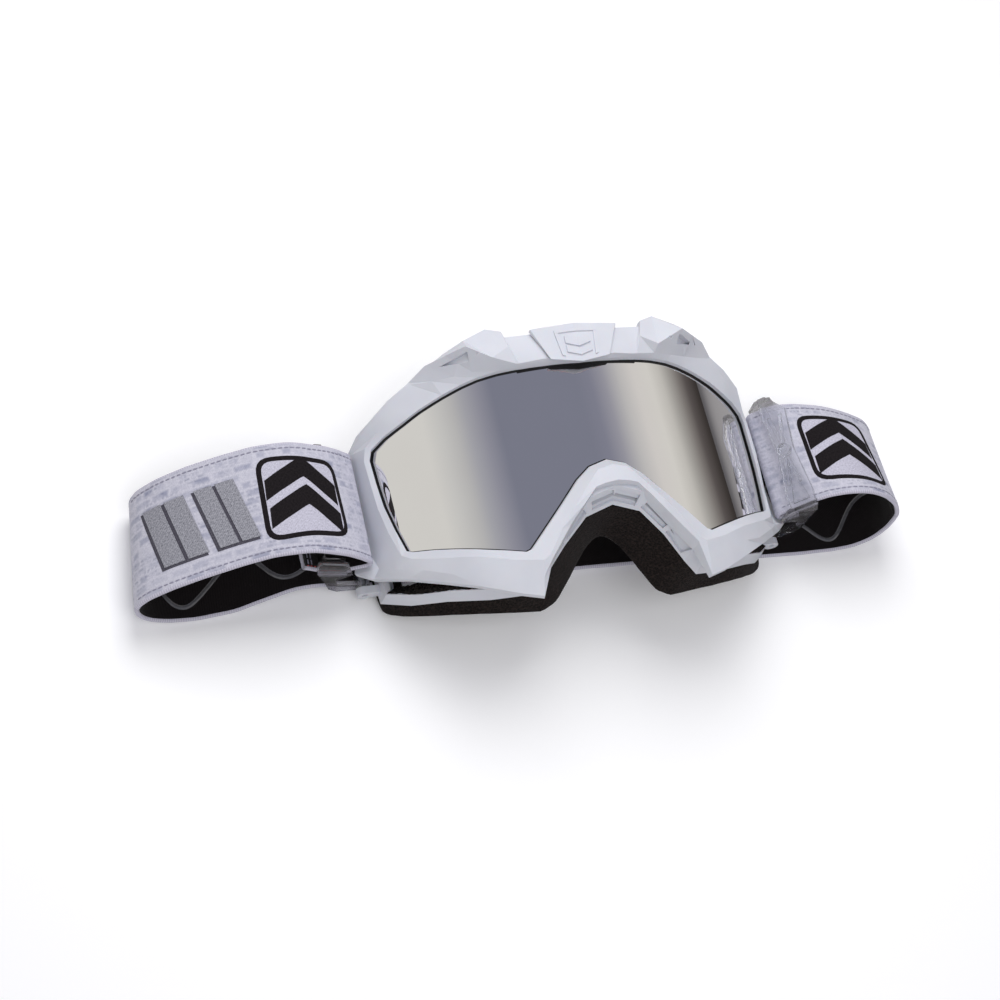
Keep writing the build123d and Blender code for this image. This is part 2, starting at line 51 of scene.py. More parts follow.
# ------------------------------------------------------------------ node helpers
class Graph:
    """Short calls for building a material's nodes."""

    def __init__(self, name):
        self.material = bpy.data.materials.new(name)
        self.material.use_nodes = True
        self.tree = self.material.node_tree
        self.tree.nodes.clear()
        self.shader = self.add("ShaderNodeBsdfPrincipled")
        self.out = self.add("ShaderNodeOutputMaterial")
        self.link(self.shader.outputs[0], self.out.inputs[0])

    def add(self, kind, **values):
        node = self.tree.nodes.new(kind)
        for key, value in values.items():
            setattr(node, key, value)
        return node

    def link(self, source, target):
        self.tree.links.new(source, target)

    def feed(self, value, socket):
        """A number or colour is set, and a socket is linked."""
        if isinstance(value, bpy.types.NodeSocket):
            self.link(value, socket)
        else:
            socket.default_value = value

    def math(self, operation, a, b=0.0, c=0.0):
        node = self.add("ShaderNodeMath", operation=operation)
        for value, socket in zip((a, b, c), node.inputs):
            self.feed(value, socket)
        return node.outputs[0]

    def mix(self, factor, a, b):
        node = self.add("ShaderNodeMix", data_type="RGBA")
        self.feed(factor, node.inputs[0])
        self.feed(a, node.inputs[6])
        self.feed(b, node.inputs[7])
        return node.outputs[2]

    def ramp(self, value, low, high):
        """0 at low, 1 at high."""
        node = self.add("ShaderNodeMapRange")
        self.feed(value, node.inputs[0])
        node.inputs[1].default_value = low
        node.inputs[2].default_value = high
        return node.outputs[0]

    def place(self, scale=(1, 1, 1)):
        """Object coordinates, in metres."""
        coords = self.add("ShaderNodeTexCoord")
        mapping = self.add("ShaderNodeMapping")
        mapping.inputs["Scale"].default_value = scale
        self.link(coords.outputs["Object"], mapping.inputs[0])
        return mapping.outputs[0]

    def noise(self, vector, scale, detail=3.0, rough=0.55):
        node = self.add("ShaderNodeTexNoise")
        self.link(vector, node.inputs["Vector"])
        node.inputs["Scale"].default_value = scale
        node.inputs["Detail"].default_value = detail
        node.inputs["Roughness"].default_value = rough
        return node.outputs[0]

    def voronoi(self, vector, scale, feature="F1"):
        node = self.add("ShaderNodeTexVoronoi", feature=feature)
        self.link(vector, node.inputs["Vector"])
        node.inputs["Scale"].default_value = scale
        return node.outputs[0]

    def split(self, vector):
        node = self.add("ShaderNodeSeparateXYZ")
        self.link(vector, node.inputs[0])
        return node.outputs

    def bump(self, height, strength, distance):
        node = self.add("ShaderNodeBump")
        node.inputs["Strength"].default_value = strength
        node.inputs["Distance"].default_value = distance
        self.link(height, node.inputs["Height"])
        self.link(node.outputs[0], self.shader.inputs["Normal"])

    def set(self, **values):
        for key, value in values.items():
            self.feed(value, self.shader.inputs[key.replace("_", " ")])


# ------------------------------------------------------------------ materials
def srgb(r, g, b):
    """Display colour, 0 to 255, as the linear colour that a shader takes."""
    line = [((v / 255 + 0.055) / 1.055) ** 2.4 if v > 10 else v / 255 / 12.92 for v in (r, g, b)]
    return (*line, 1.0)


def white_plastic():
    g = Graph("frame_white")
    spot = g.place()
    tone = g.noise(spot, 60, 3)
    g.set(Base_Color=g.mix(g.ramp(tone, 0.3, 0.7), srgb(203, 205, 213), srgb(209, 211, 218)),
          Roughness=g.ramp(g.noise(spot, 900, 2), -2.2, 3.0), Specular_IOR_Level=0.42, Coat_Weight=0.12,
          Coat_Roughness=0.32, Subsurface_Weight=0.08, Subsurface_Scale=0.0012)
    g.bump(g.noise(spot, 3800, 3), 0.10, 0.00005)
    return g.material


def mirror_lens():
    g = Graph("mirror_lens")
    spot = g.place()
    haze = g.noise(spot, 40, 2)
    g.set(Base_Color=g.mix(haze, srgb(248, 247, 246), srgb(252, 252, 251)), Metallic=1.0,
          Roughness=g.math("MULTIPLY_ADD", g.noise(spot, 220, 2), 0.02, 0.012))
    return g.material


def black_rubber():
    g = Graph("gasket")
    spot = g.place()
    g.set(Base_Color=g.mix(g.noise(spot, 300), srgb(16, 15, 15), srgb(26, 25, 25)), Roughness=0.55)
    g.bump(g.noise(spot, 2500), 0.2, 0.00005)
    return g.material


def face_foam_cloth():
    g = Graph("foam")
    spot = g.place()
    cells = g.voronoi(spot, 1300)
    fuzz = g.noise(spot, 2300, 4, 0.75)
    shade = g.math("MULTIPLY_ADD", fuzz, 0.7, g.math("MULTIPLY", cells, 0.5))
    g.set(Base_Color=g.mix(g.ramp(shade, 0.42, 0.92), srgb(8, 6, 6), srgb(46, 38, 35)), Roughness=0.95,
          Sheen_Weight=0.05, Sheen_Roughness=0.5, Specular_IOR_Level=0.15)
    g.bump(shade, 0.9, 0.0004)
    return g.material


def fleece_cloth():
    g = Graph("fleece")
    spot = g.place()
    pile = g.noise(spot, 1900, 4, 0.75)
    g.set(Base_Color=g.mix(g.ramp(pile, 0.3, 0.75), srgb(22, 20, 21), srgb(62, 58, 60)), Roughness=1.0,
          Sheen_Weight=0.6, Sheen_Roughness=0.4, Specular_IOR_Level=0.1)
    g.bump(pile, 1.0, 0.0005)
    return g.material


def vent_cloth():
    g = Graph("vent_foam")
    spot = g.place()
    cells = g.voronoi(spot, 700, "DISTANCE_TO_EDGE")
    g.set(Base_Color=g.mix(g.ramp(cells, 0.0, 0.25), srgb(40, 35, 32), srgb(8, 7, 7)), Roughness=0.95,
          Specular_IOR_Level=0.1)
    g.bump(g.ramp(cells, 0.0, 0.3), 1.0, 0.0006)
    return g.material


def clear_plastic():
    g = Graph("clear_plastic")
    spot = g.place()
    g.set(Base_Color=(0.97, 0.98, 1.0, 1.0), Transmission_Weight=1.0, IOR=1.45, Specular_IOR_Level=0.6,
          Roughness=g.math("MULTIPLY_ADD", g.noise(spot, 160, 3), 0.05, 0.005))
    g.bump(g.noise(spot, 420, 2), 0.10, 0.0002)
    bare = g.add("ShaderNodeBsdfTransparent")
    both = g.add("ShaderNodeMixShader")
    both.inputs[0].default_value = 0.68
    g.link(bare.outputs[0], both.inputs[1])
    g.link(g.shader.outputs[0], both.inputs[2])
    g.link(both.outputs[0], g.out.inputs[0])
    return g.material


def steel():
    g = Graph("pin_steel")
    spot = g.place(scale=(40, 1, 40))
    g.set(Base_Color=srgb(190, 190, 194), Metallic=1.0,
          Roughness=g.math("MULTIPLY_ADD", g.noise(spot, 300), 0.15, 0.25))
    return g.material


def black_plastic():
    g = Graph("slider_black")
    spot = g.place()
    g.set(Base_Color=g.mix(g.noise(spot, 200), srgb(20, 20, 21), srgb(34, 34, 36)), Roughness=0.5)
    g.bump(g.noise(spot, 3000), 0.25, 0.00006)
    return g.material


def silicone():
    g = Graph("silicone")
    spot = g.place()
    g.set(Base_Color=g.mix(g.noise(spot, 500), srgb(66, 66, 68), srgb(104, 104, 108)), Roughness=0.12,
          Specular_IOR_Level=0.8, Coat_Weight=0.6, Coat_Roughness=0.05)
    return g.material


def woven(g, strap_uv, pitch):
    """Height of a tight elastic weave: ribs along the band crossed by fine picks."""
    parts = g.split(strap_uv)
    rib = g.math("SINE", g.math("MULTIPLY", parts[1], TURN_MM / pitch))
    slant = g.math("MULTIPLY_ADD", parts[1], 0.55, parts[0])
    pick = g.math("SINE", g.math("MULTIPLY", slant, TURN_MM / (pitch * 0.8)))
    return g.math("MULTIPLY_ADD", g.math("MULTIPLY", rib, pick), 0.5, 0.5)


def strap_uv(g):
    node = g.add("ShaderNodeUVMap", uv_map="strap")
    return node.outputs[0]


def webbing_outer():
    """Pale printed elastic: lavender grey with a worn check of darker blocks and short bars."""
    g = Graph("webbing")
    uv = strap_uv(g)
    weave = woven(g, uv, 0.75)
    warp = g.add("ShaderNodeTexNoise")
    g.link(uv, warp.inputs["Vector"])
    warp.inputs["Scale"].default_value = 160
    bent = g.add("ShaderNodeVectorMath", operation="MULTIPLY_ADD")
    g.link(warp.outputs["Color"], bent.inputs[0])
    bent.inputs[1].default_value = (0.0022, 0.0016, 0)
    g.link(uv, bent.inputs[2])

    def blocks(scale, gap, seed):
        spread = g.add("ShaderNodeMapping")
        spread.inputs["Scale"].default_value = scale
        spread.inputs["Location"].default_value = (seed, seed * 0.7, 0)
        g.link(bent.outputs[0], spread.inputs[0])
        brick = g.add("ShaderNodeTexBrick", offset=0.37, squash=0.6, squash_frequency=3)
        g.link(spread.outputs[0], brick.inputs["Vector"])
        for key, value in (("Color1", 0.05), ("Color2", 0.95), ("Mortar", 0.0)):
            brick.inputs[key].default_value = (value, value, value, 1)
        brick.inputs["Scale"].default_value = 1.0
        brick.inputs["Mortar Size"].default_value = gap
        brick.inputs["Mortar Smooth"].default_value = 1.0
        return brick.outputs["Color"], spread.outputs[0]

    large, wide = blocks((62, 70, 1), 0.10, 0.3)
    small, fine = blocks((170, 150, 1), 0.16, 4.1)
    faded = g.math("MULTIPLY", large, g.ramp(g.noise(wide, 0.7, 2, 0.6), 0.32, 0.52))
    bars = g.math("MULTIPLY", small, g.ramp(g.noise(wide, 1.3, 2, 0.6), 0.44, 0.58))
    grain = g.noise(uv, 1500, 2, 0.8)
    base = g.mix(faded, srgb(201, 200, 211), srgb(142, 145, 167))
    base = g.mix(g.math("MULTIPLY", bars, 0.8), base, srgb(116, 120, 144))
    worn = g.math("MULTIPLY", g.ramp(g.noise(fine, 0.9, 3, 0.7), 0.5, 0.72), 0.6)
    base = g.mix(worn, base, srgb(208, 206, 218))
    g.set(Base_Color=g.mix(g.math("MULTIPLY", g.ramp(grain, 0.4, 0.68), 0.36), base, srgb(140, 140, 156)),
          Roughness=0.86, Sheen_Weight=0.12, Specular_IOR_Level=0.2)
    g.bump(weave, 0.35, 0.00012)
    return g.material


def webbing_inner():
    g = Graph("webbing_inner")
    uv = strap_uv(g)
    weave = woven(g, uv, 0.8)
    g.set(Base_Color=g.mix(g.ramp(weave, 0.2, 0.95), srgb(8, 6, 7), srgb(32, 27, 28)), Roughness=0.9,
          Sheen_Weight=0.1, Specular_IOR_Level=0.15)
    g.bump(weave, 0.6, 0.00018)
    return g.material


def webbing_edge():
    g = Graph("webbing_edge")
    uv = strap_uv(g)
    twist = g.math("SINE", g.math("MULTIPLY", g.split(uv)[0], TURN_MM / 0.9))
    g.set(Base_Color=g.mix(g.ramp(twist, -1, 1), srgb(178, 176, 190), srgb(202, 199, 212)), Roughness=0.85,
          Specular_IOR_Level=0.2)
    g.bump(twist, 0.3, 0.00012)
    return g.material


def print_and_shadow_ink(name, low, high, pitch=0.75):
    """Flocked or printed area on the strap, with the weave showing through; also the painted shadow under
    the grey bars.
    """
    g = Graph(name)
    uv = strap_uv(g)
    weave = woven(g, uv, pitch)
    fleck = g.noise(uv, 1500, 2, 0.8)
    tone = g.math("MULTIPLY_ADD", fleck, 0.8, g.math("MULTIPLY", weave, 0.2))
    g.set(Base_Color=g.mix(g.ramp(tone, 0.3, 0.66), srgb(*low), srgb(*high)), Roughness=0.88,
          Specular_IOR_Level=0.2)
    g.bump(weave, 0.4, 0.00012)
    return g.material


def thread(name, colour):
    g = Graph(name)
    spot = g.place()
    g.set(Base_Color=g.mix(g.noise(spot, 2500), srgb(*colour), srgb(*[int(v * 0.7) for v in colour])),
          Roughness=0.7, Sheen_Weight=0.2)
    return g.material


WHITE = white_plastic()
MIRROR = mirror_lens()
BLACK_RUBBER_AND_SHADE = black_rubber()
FOAM = face_foam_cloth()
FLEECE = fleece_cloth()
VENT = vent_cloth()
CLEAR = clear_plastic()
STEEL = steel()
BLACK_PLASTIC = black_plastic()
SILICONE = silicone()
WEB_OUT = webbing_outer()
WEB_IN = webbing_inner()
WEB_EDGE = webbing_edge()
INK_BLACK = print_and_shadow_ink("ink_black", (14, 12, 14), (38, 34, 36))
INK_PANEL = print_and_shadow_ink("ink_panel", (160, 158, 172), (206, 204, 218))
INK_GREY = print_and_shadow_ink("ink_grey", (96, 96, 104), (170, 170, 178))
# Painted shadow: a dark patch under the grey bars on the left strap, standing in for the shade of their
# relief.
PAINTED_SHADOW = print_and_shadow_ink("painted_shadow", (58, 56, 64), (90, 88, 98))
THREAD_LIGHT = thread("thread_light", (158, 156, 176))
THREAD_RED = thread("thread_red", (196, 92, 92))


# ------------------------------------------------------------------ mesh helpers
CREASE_DEG = 40


def add_object(name, mesh):
    item = bpy.data.objects.new(name, mesh)
    bpy.context.collection.objects.link(item)
    return item


def mesh_object(name, points, faces, material):
    mesh = bpy.data.meshes.new(name)
    mesh.from_pydata([tuple(p) for p in points], [], faces)
    mesh.materials.append(material)
    mesh.validate()
    return add_object(name, mesh)


def mesh_from(bm, name, *materials):
    mesh = bpy.data.meshes.new(name)
    bm.to_mesh(mesh)
    bm.free()
    for material in materials:
        mesh.materials.append(material)
    return add_object(name, mesh)


def face_out(item):
    """Turns every face of a closed mesh outwards."""
    bm = bmesh.new()
    bm.from_mesh(item.data)
    bmesh.ops.recalc_face_normals(bm, faces=bm.faces)
    bm.to_mesh(item.data)
    bm.free()


def prism(bm, outline, low, high):
    """A closed slab over an outline."""
    floor = [bm.verts.new((x, y, low)) for x, y in outline]
    roof = [bm.verts.new((x, y, high)) for x, y in outline]
    bm.faces.new(roof)
    bm.faces.new(floor[::-1])
    for i in range(len(outline)):
        k = (i + 1) % len(outline)
        bm.faces.new((floor[i], floor[k], roof[k], roof[i]))


def fill_ends(bm):
    """Triangulates the end faces, whose normals have to be known if the outline is concave."""
    bmesh.ops.triangulate(bm, faces=[f for f in bm.faces if len(f.verts) > 4])


def slice_at(bm, spot, normal):
    everything = bm.verts[:] + bm.edges[:] + bm.faces[:]
    bmesh.ops.bisect_plane(bm, geom=everything, plane_co=spot, plane_no=normal)


def settle(item):
    """Applies every modifier, so that the mesh is final."""
    depsgraph = bpy.context.evaluated_depsgraph_get()
    final = bpy.data.meshes.new_from_object(item.evaluated_get(depsgraph))
    item.modifiers.clear()
    item.data = final
    return item


def smooth(item, angle=None):
    for polygon in item.data.polygons:
        polygon.use_smooth = True
    if angle is not None:
        item.data.set_sharp_from_angle(angle=math.radians(angle))
    return item


def mirror_x(point):
    return (-point[0], *point[1:])


def whole_ring(half):
    return half + [[mirror_x(p) for p in row] for row in reversed(half[1:-1])]


def inward(outline, i, distance):
    """Point i of a right-half outline moved towards the opening, in plan."""
    before = outline[i - 1] if i else mirror_x(outline[1])
    after = outline[i + 1] if i < len(outline) - 1 else mirror_x(outline[-2])
    run = Vector((after[0] - before[0], after[1] - before[1])).normalized()
    return (outline[i][0] + run.y * distance, outline[i][1] - run.x * distance)


def ring_object(name, half, column_creases, corner_rows, material, levels):
    """A subdivided ring through mirrored sections, with creased columns and corners."""
    rows = whole_ring(half)
    count, width = len(rows), len(rows[0])
    last = len(half) - 1
    sharp = {i for i in corner_rows} | {count - i for i in corner_rows if 0 < i < last}
    bm = bmesh.new()
    grid = [[bm.verts.new(Vector(p) * MM) for p in row] for row in rows]
    crease = bm.edges.layers.float.new("crease_edge")
    for i in range(count):
        for j in range(width):
            here, there = grid[i], grid[(i + 1) % count]
            k = (j + 1) % width
            bm.faces.new((here[j], here[k], there[k], there[j]))
    for i in range(count):
        for j in range(width):
            edge = bm.edges.get((grid[i][j], grid[(i + 1) % count][j]))
            edge[crease] = column_creases[j]
            if i in sharp:
                across = bm.edges.get((grid[i][j], grid[i][(j + 1) % width]))
                across[crease] = corner_rows[min(i, count - i)]
    bmesh.ops.recalc_face_normals(bm, faces=bm.faces)
    item = mesh_from(bm, name, material)
    item.modifiers.new("round", "SUBSURF").levels = levels
    return smooth(settle(item), CREASE_DEG)


# ------------------------------------------------------------------ rigid CAD parts
# Material, edge radius in mm, and the angle in degrees from which an edge is rounded.
SOFT_EDGE = {
    "outer_frame": (WHITE, 0.5, 15), "rear_frame": (WHITE, 0.4, 22), "brow_plate": (WHITE, 0.4, 6),
    "hinge_lugs_left": (WHITE, 0.25, 30), "hinge_lugs_right": (WHITE, 0.25, 30),
    "lens_gasket": (BLACK_RUBBER_AND_SHADE, 0.0, 0),
    "hinge_pin_left": (STEEL, 0.15, 40), "hinge_pin_right": (STEEL, 0.15, 40),
    "outrigger_left": (CLEAR, 0.3, 25), "outrigger_right": (CLEAR, 0.3, 25),
    "outrigger_boss_left": (CLEAR, 0.25, 35), "outrigger_boss_right": (CLEAR, 0.25, 35),
    "slider_left": (BLACK_PLASTIC, 0.35, 30), "slider_right": (BLACK_PLASTIC, 0.35, 30),
}

for name, (material, width, angle) in SOFT_EDGE.items():
    item = nodes[name]
    item.data.materials.clear()
    item.data.materials.append(material)
    if "custom_normal" in item.data.attributes:
        item.data.attributes.remove(item.data.attributes["custom_normal"])
    item.modifiers.new("weld", "WELD").merge_threshold = 0.00001
    if width:
        flat = item.modifiers.new("flat", "DECIMATE")
        flat.decimate_type = "DISSOLVE"
        flat.angle_limit = math.radians(0.6)
        edge = item.modifiers.new("edge", "BEVEL")
        edge.width = width * MM
        edge.segments = 3
        edge.limit_method = "ANGLE"
        edge.angle_limit = math.radians(angle)
        edge.use_clamp_overlap = True
        edge.harden_normals = False
        even = item.modifiers.new("even", "WEIGHTED_NORMAL")
        even.weight = 80
    smooth(item)


# ------------------------------------------------------------------ lens
AXIS_Z = -36.4
LENS_R = 98.6
LENS_T = 1.0
LENS_REACH = 84
# How far the painted-shade strip under the brow plate sits into and stands off the lens, in mm.
SHADE_STRIP_SUNK = 0.2
SHADE_STRIP_PROUD = 0.3
LENS_GRIP = 2.4
LIPS = [
    (0.0, 38.4), (14.0, 38.8), (22.6, 39.1), (23.8, 39.2), (31.0, 39.3), (38.1, 38.9), (44.0, 37.9),
    (51.0, 36.2), (59.6, 33.7), (65.5, 31.4), (71.5, 29.3), (76.0, 26.6), (77.1, 23.0), (76.7, 13.0),
    (76.0, 3.0), (74.4, -7.2), (72.4, -17.2), (70.6, -18.6), (64.0, -21.2), (57.0, -24.1), (52.2, -26.1),
    (42.0, -30.3), (36.2, -32.6), (34.0, -32.0), (27.2, -25.0), (20.3, -17.9), (12.4, -9.4), (6.8, -5.0),
    (0.0, -3.0),
]


def lens_sheet(name, outline, low, high, material):
    """A closed sheet between two radii about the lens axis, sliced finely for smooth reflections."""
    bm = bmesh.new()
    prism(bm, outline, 0, 1)
    bmesh.ops.recalc_face_normals(bm, faces=bm.faces)
    fill_ends(bm)
    for step in range(-LENS_REACH, LENS_REACH + 1):
        slice_at(bm, (step, 0, 0), (1, 0, 0))
    for v in bm.verts:
        turn = math.asin(max(-1, min(1, v.co.x / LENS_R)))
        radius = low + (high - low) * v.co.z
        v.co = Vector((math.sin(turn) * radius, v.co.y, math.cos(turn) * radius + AXIS_Z)) * MM
    return smooth(mesh_from(bm, name, material), CREASE_DEG)


lens_right = [inward(LIPS, i, -LENS_GRIP) for i in range(len(LIPS))]
lens_outline = lens_right + [mirror_x(p) for p in reversed(lens_right[1:-1])]
lens = lens_sheet("lens_mirror", lens_outline, LENS_R - LENS_T, LENS_R, MIRROR)
# A black strip on the lens along the brow plate's lower edge: painted shade under the plate.
brow_edge = [(0.0, 35.7), (11.0, 36.9), (12.0, 37.6), (23.6, 37.7), (23.6, 38.9), (0.0, 38.2)]
brow_outline = [mirror_x(p) for p in brow_edge[4:0:-1]] + brow_edge
strip = lens_sheet("brow_shade_strip", brow_outline, LENS_R - SHADE_STRIP_SUNK, LENS_R + SHADE_STRIP_PROUD, BLACK_RUBBER_AND_SHADE)
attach(strip, "frame")
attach(lens, "frame")
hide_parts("lens")


# ------------------------------------------------------------------ foam
REAR = [
    (0, 46.0, 49, 1), (20, 47.0, 47.5, 1), (40, 45.5, 41, 1), (57, 40.5, 29, 1), (68.5, 33.0, 17.5, 1),
    (77, 24.0, 7.5, 1), (79, 13.0, 5.2, 1), (79, -4.0, 5.0, 1), (79, -16.0, 5.0, 1), (78.4, -25.6, 5.0, 1),
    (70, -31.8, 15.5, 1), (59.7, -36.1, 26.5, 1), (45, -39.6, 32.0, 1), (34.4, -41.4, 37.0, 1),
    (27.5, -38.6, 45.0, 2), (19.5, -29.8, 51.5, 3.6), (10.5, -21.6, 56.5, 4), (0, -18.6, 58.2, 4),
]
REAR_H = 8.0
VENT_W = 3.4
FLANGE_W = 6.5
FOAM_BACK = [
    (0, 49.0, 38.0, 13), (20, 50.0, 36.0, 13), (40, 48.6, 30.5, 13), (57.5, 43.6, 20.0, 13),
    (70, 35.5, 9.5, 13), (78, 25.5, 3.2, 12), (79.6, 13.0, 2.9, 12), (79.6, -5.0, 2.9, 12),
    (79.6, -17.0, 2.9, 12), (78.2, -28.5, 2.9, 11), (73.5, -33.2, 7.5, 11), (61.9, -39.2, 20.5, 12),
    (44.5, -43.4, 27.0, 12), (25.4, -45.6, 28.0, 9), (19.6, -43.2, 29.6, 9), (13.6, -36.2, 33.4, 11),
    (7.4, -27.4, 37.4, 12), (0, -20.8, 39.4, 12),
]
CORNERS = {9: 0.35, 13: 0.5, 14: 0.4}


def lerp(a, b, t):
    return tuple(x + (y - x) * t for x, y in zip(a, b))


def foam_rows():
    rows = []
    for i, (x, y, z, width) in enumerate(FOAM_BACK):
        front = (*inward(REAR, i, 0.4), REAR[i][2])
        inner = (*inward(REAR, i, FLANGE_W), REAR[i][2])
        back = (x, y, z)
        back_inner = (*inward(FOAM_BACK, i, width), z)
        rows.append([front, lerp(front, back, 0.08), lerp(front, back, 0.5), lerp(front, back, 0.88),
                     (*inward(FOAM_BACK, i, 0.15), z), (*inward(FOAM_BACK, i, 1.5), z),
                     (*inward(FOAM_BACK, i, width * 0.5), z), (*inward(FOAM_BACK, i, width - 1.2), z),
                     back_inner, lerp(back_inner, inner, 0.2), lerp(back_inner, inner, 0.6),
                     lerp(back_inner, inner, 0.94), inner])
    return rows


def ruffle(item, size, depth):
    """Small uneven movement along the surface normals. size and depth are in mm."""
    for v in item.data.vertices:
        v.co += v.normal * noise.fractal(v.co / (size * MM), 0.6, 2.1, 3) * depth * MM
    return item


FOAM_CREASES = [0.8] + [0] * 11 + [0.8]
foam = ring_object("face_foam_pad", foam_rows(), FOAM_CREASES, CORNERS, FOAM, 2)
ruffle(foam, 2.2, 0.12)
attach(foam, "frame")
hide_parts("face_foam")

LINING_T = 0.8
lining_rows = []
for i, (x, y, z, width) in enumerate(FOAM_BACK):
    outer, far = inward(FOAM_BACK, i, 0.9), inward(FOAM_BACK, i, width - 0.9)
    edge, far_edge = inward(FOAM_BACK, i, 1.7), inward(FOAM_BACK, i, width - 1.7)
    lining_rows.append([(*outer, z + 0.3), (*outer, z - LINING_T * 0.6), (*edge, z - LINING_T),
                        (*far_edge, z - LINING_T), (*far, z - LINING_T * 0.6), (*far, z + 0.3)])
lining = ring_object("face_lining", lining_rows, [0.3] * 6, CORNERS, FLEECE, 2)
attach(lining, "frame")
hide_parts("fleece_lining")


def vent_strip(name, path, node):
    """Open-cell foam along a stretch of the rear frame's top edge, with a torn upper edge.
    Each path entry is outer (x, y), inner (x, y), foot height and foam height."""
    rows = []
    for a, b in zip(path, path[1:]):
        span = math.dist(a[0], b[0])
        count = max(2, int(span / 0.8))
        for n in range(count):
            t = n / count
            foot, height = lerp(a[2:], b[2:], t)
            rows.append([lerp(a[k], b[k], t) for k in (0, 1)] + [foot, height])
    rows.append(path[-1])
    rng = random.Random(name)
    points, faces, width, tall = [], [], 4, 4
    ring = [(c / width, 0.0) for c in range(width)] + [(1.0, r / tall) for r in range(tall)]
    ring += [(1 - c / width, 1.0) for c in range(width)] + [(0.0, 1 - r / tall) for r in range(tall)]
    for outer, inner, z, height in rows:
        top = height + rng.uniform(-0.55, 0.25)
        for across, up in ring:
            x, y = lerp(outer, inner, across)
            push = 0.35 * noise.noise(Vector((x, y, z + up * height)) * 0.9)
            points.append(Vector((x + push, y + push, z + max(top, 0.3) * up + push * up)) * MM)
    size = len(ring)
    for i in range(len(rows) - 1):
        for j in range(size):
            k = (j + 1) % size
            faces.append((i * size + j, i * size + k, (i + 1) * size + k, (i + 1) * size + j))
    faces.append(tuple(range(size - 1, -1, -1)))
    faces.append(tuple(range((len(rows) - 1) * size, len(rows) * size)))
    item = mesh_object(name, points, faces, VENT)
    face_out(item)
    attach(item, "frame")
    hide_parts(node)


def vent_path(first, heights):
    path = []
    for i, height in enumerate(heights, first):
        outer, inner = inward(REAR, i, REAR[i][3] + 0.3), inward(REAR, i, REAR[i][3] + VENT_W)
        path.append((outer, inner, REAR[i][2] + REAR_H, height))
    return path


def flip(path):
    return [(mirror_x(a), mirror_x(b), z, h) for a, b, z, h in path]


top_path = vent_path(0, [2.4, 2.4, 2.0, 2.4, 3.0])
chin_path = vent_path(9, [1.4, 5.0, 3.6, 6.0, 5.0])
vent_strip("vent_mesh_top", flip(reversed(top_path[1:])) + top_path, "vent_foam_top")
vent_strip("vent_mesh_right", chin_path, "vent_foam_right")
vent_strip("vent_mesh_left", flip(chin_path), "vent_foam_left")


# ------------------------------------------------------------------ strap
STRAP_W = 45.0
STRAP_T = 1.8
FACE = STRAP_T / 2
FOLD_END = 24.0       # along the band, where the tight fold is past
PAST_FOLD = 12        # along the band, past the fold's turning point
SLIDER_ZONE = 66      # in x, where the sliders run
CALMING = 25.0        # past the loop, how far the band's ripple takes to fade
BAND_STEP = 1.4
CLEARANCE = 0.03      # kept above the table
# Knots: x, y, z of the band's lower edge, then how far its upper edge leans in x and drops in z.
STRAP_LEFT = [
    (-106.5, -15.4, 37.5, 0, 1.5), (-112.6, -15.4, 38.0, 0, 1.5), (-123.0, -15.4, 37.0, 0, 2),
    (-133.5, -16.0, 33.6, 0, 2), (-147.6, -17.3, 28.8, 0.5, 2), (-158.0, -18.3, 24.4, 1.5, 3),
    (-166.0, -19.2, 19.0, 3, 4), (-169.6, -20.0, 13.6, 5, 4), (-168.0, -20.8, 8.2, 5, 2.4),
    (-163.0, -21.4, 4.2, 3, 1), (-155.0, -21.6, 1.6, 1, 0.5), (-144.8, -21.6, 0.9, 0, 0),
    (-130.0, -20.2, 1.3, 0, 0), (-118.7, -17.8, 3.2, 0, 0), (-108.5, -16.2, 5.4, 0, 0),
    (-101.0, -16.0, 5.6, 0, 0), (-94.0, -16.0, 3.8, 0, 0), (-87.0, -16.0, 1.4, 0, 0),
    (-80.0, -16.2, 0.9, 0, 0), (-65.0, -17.0, 0.9, 0, 0), (-60.0, -17.4, 2.9, 0, 0),
    (-30.0, -18.4, 2.9, 0, 0), (-24.0, -19.0, 0.9, 0, 0), (24.0, -20.6, 0.9, 0, 0),
    (30.0, -21.0, 2.9, 0, 0), (58.0, -22.0, 2.9, 0, 0),
]
STRAP_RIGHT = [
    (106.0, -17.0, 39.4, 0, 9.5), (111.0, -17.6, 40.0, 0, 10.5), (117.4, -18.3, 39.0, 0, 11.5),
    (124.5, -19.4, 35.4, 1, 11.5), (130.8, -20.8, 29.0, 3, 10), (134.2, -22.0, 21.0, 4.5, 8),
    (133.0, -23.2, 12.0, 5, 4.5), (128.6, -24.4, 5.2, 4, 2), (121.0, -25.2, 1.6, 2, 0.5),
    (112.0, -25.4, 0.9, 0, 0), (97.0, -25.2, 0.9, 0, 0), (80.5, -24.4, 0.9, 0, 0),
    (68.0, -23.6, 0.9, 0, 0), (60.0, -23.2, 4.9, 0, 0), (30.0, -22.0, 4.9, 0, 0),
    (24.0, -21.4, 3.0, 0, 0), (-24.0, -19.8, 3.0, 0, 0), (-30.0, -19.4, 4.9, 0, 0),
    (-58.0, -18.6, 4.9, 0, 0),
]
FOLD = [(88.6, -16.0, 27.8, 0, 0.5), (83.6, -15.9, 22.8, 0, 0), (82.9, -15.9, 20.9, 0, 0),
        (83.6, -15.9, 19.3, 0, 0), (85.1, -15.9, 18.7, 0, 0)]
LEFT_FRONT = [(102.0, -15.9, 36.2, 0, 1.5), (95.0, -15.9, 32.6, 0, 1)]
LEFT_TAIL = [(91.5, -15.9, 16.8, 0, 0), (101.0, -15.9, 19.4, 0, 0), (109.0, -15.9, 24.0, 0, 0)]
RIGHT_FRONT = [(100.0, -16.3, 36.8, 0, 7), (95.0, -16.1, 33.4, 0, 4)]
